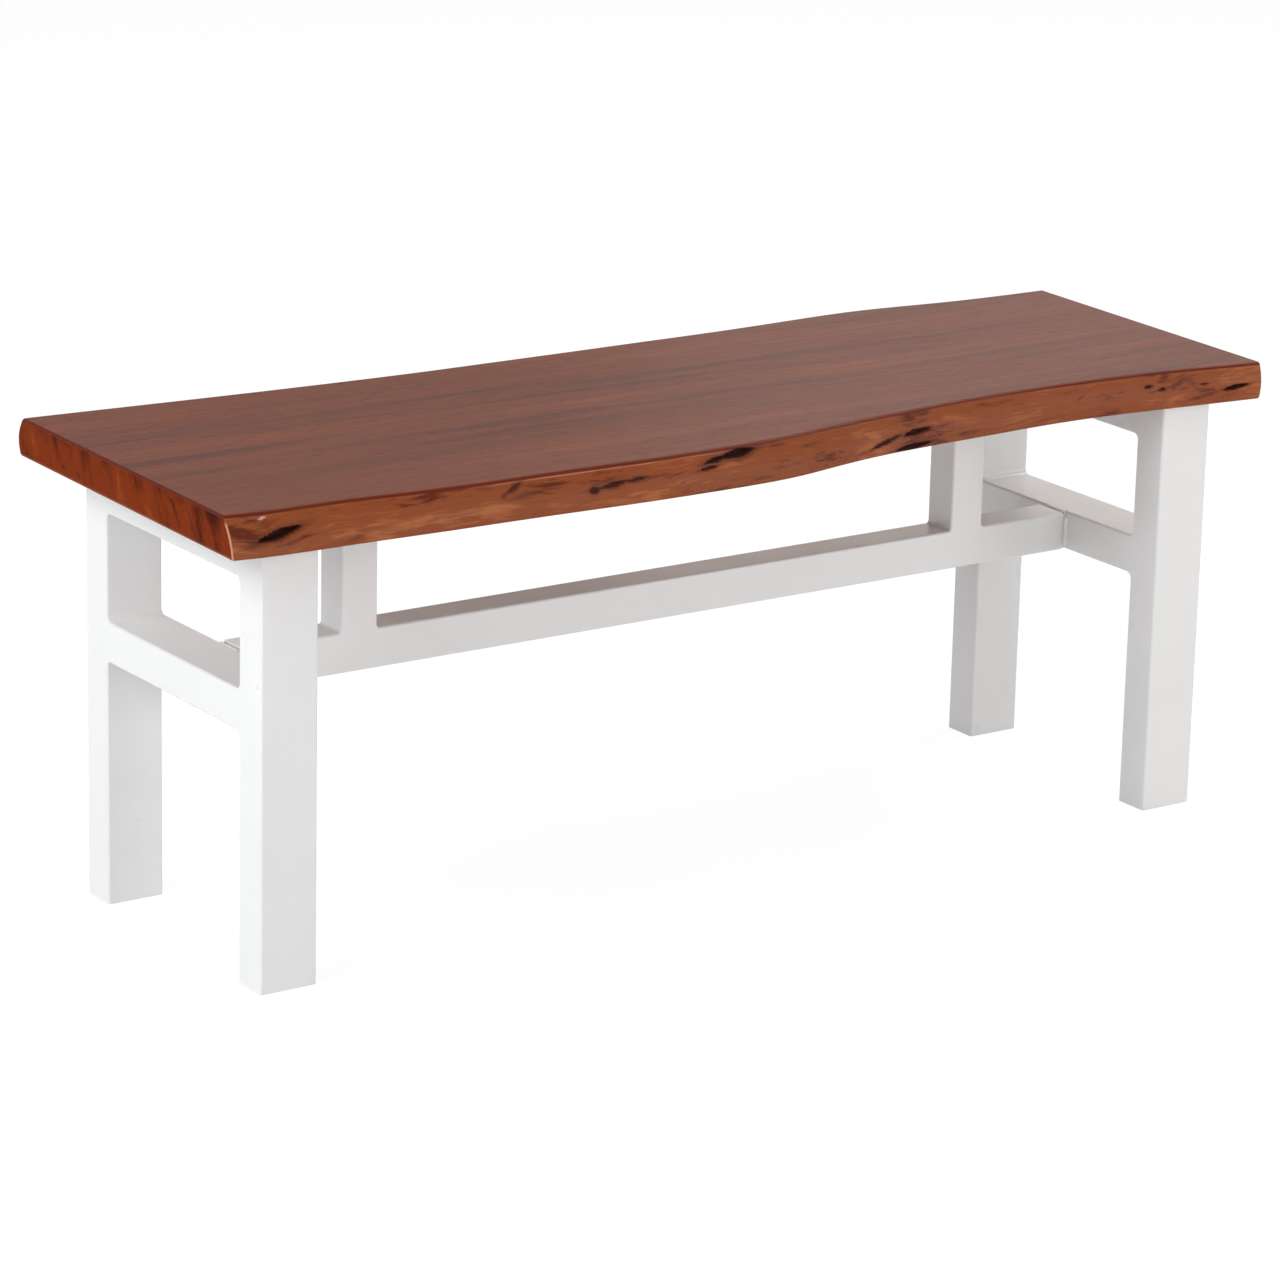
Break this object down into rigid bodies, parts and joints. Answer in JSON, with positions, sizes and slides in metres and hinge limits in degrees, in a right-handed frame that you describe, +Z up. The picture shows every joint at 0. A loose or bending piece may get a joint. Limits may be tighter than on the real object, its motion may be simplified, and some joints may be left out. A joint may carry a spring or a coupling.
{
  "type": "live edge bench",
  "caption": "Backless bench: a wooden live edge seat screwed to a white welded box-section frame with end frames, cross rails and a stretcher.",
  "frame": {"origin": "on the floor, under the middle of the seat", "axes": "+X along the seat, +Y from the front live edge to the back live edge, +Z up"},
  "size_m": [1.2087, 0.4403, 0.468],
  "materials": {
    "seat_wood": "clear semi-gloss lacquer over red-brown hardwood, orange-brown along the live edges",
    "frame_paint": "glossy white powder coat",
    "zinc_steel": "bright zinc plate",
    "nut_steel": "plain steel, welded in",
    "glide_plastic": "moulded white plastic"
  },
  "bodies": {
    "root": {"seat_board_front": "seat_wood", "seat_board_back": "seat_wood", "leg_left_front": "frame_paint", "leg_left_back": "frame_paint", "leg_right_front": "frame_paint", "leg_right_back": "frame_paint", "crossrail_left": "frame_paint", "top_rail_left": "frame_paint", "post_left": "frame_paint", "post_plate_left": "frame_paint", "spigot_left": "frame_paint", "welds_left_frame": "frame_paint", "crossrail_right": "frame_paint", "top_rail_right": "frame_paint", "post_right": "frame_paint", "post_plate_right": "frame_paint", "spigot_right": "frame_paint", "welds_right_frame": "frame_paint", "stretcher": "frame_paint", "welds_stretcher_frame": "frame_paint", "rail_screws_left": "zinc_steel", "rail_screws_right": "zinc_steel", "plate_screws": "zinc_steel", "stretcher_bolts": "zinc_steel", "spigot_nuts": "nut_steel", "glide_left_front": "glide_plastic", "glide_left_back": "glide_plastic", "glide_right_front": "glide_plastic", "glide_right_back": "glide_plastic"}
  },
  "joints": []
}
